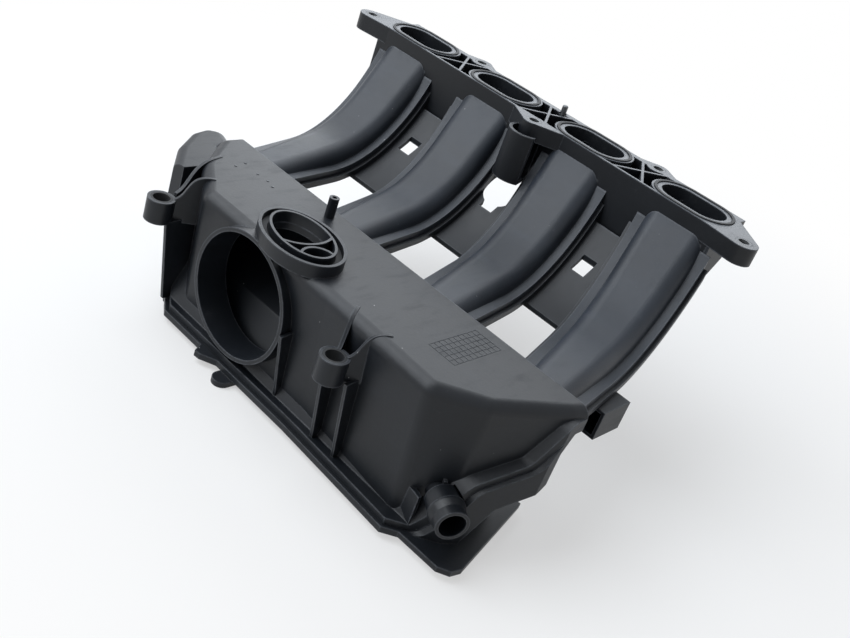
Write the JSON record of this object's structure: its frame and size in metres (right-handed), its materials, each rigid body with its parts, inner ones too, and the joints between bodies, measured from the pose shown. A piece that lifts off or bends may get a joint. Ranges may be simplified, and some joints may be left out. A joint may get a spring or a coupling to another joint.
{
  "type": "intake manifold",
  "caption": "Moulded black plastic intake manifold: plenum with round throttle stub, curved runners with weld rails, and a bolted head flange with oval ports",
  "frame": {"origin": "middle of the port row, on the head face", "axes": "+Z out of the head face, X along the port row with the throttle stub at the low end, +Y from the plenum to the head"},
  "size_m": [0.3685, 0.2834, 0.164],
  "materials": {
    "upper_plastic": "satin glass-filled nylon, lighter on worn edges",
    "lower_plastic": "satin glass-filled nylon, a little darker",
    "insert_plastic": "smooth moulded nylon",
    "rubber": "matt black seal rubber",
    "steel": "dull zinc-plated steel"
  },
  "bodies": {
    "root": {"boss_bushes": "rubber", "clip_pocket": "lower_plastic", "collar_insert": "insert_plastic", "collar_seal": "rubber", "head_bolt_sleeves": "steel", "head_flange": "lower_plastic", "hose_nipple": "insert_plastic", "locating_pin": "steel", "plenum_lower_shell": "lower_plastic", "plenum_upper_shell": "upper_plastic", "port_seal_1": "rubber", "port_seal_2": "rubber", "port_seal_3": "rubber", "port_seal_4": "rubber", "runner_cover_1": "upper_plastic", "runner_cover_2": "upper_plastic", "runner_cover_3": "upper_plastic", "runner_cover_4": "upper_plastic", "runner_trough_1": "lower_plastic", "runner_trough_2": "lower_plastic", "runner_trough_3": "lower_plastic", "runner_trough_4": "lower_plastic", "side_chamber": "lower_plastic", "vacuum_tap": "insert_plastic", "web_panel_1": "lower_plastic", "web_panel_2": "lower_plastic", "web_panel_3": "lower_plastic"}
  },
  "joints": []
}
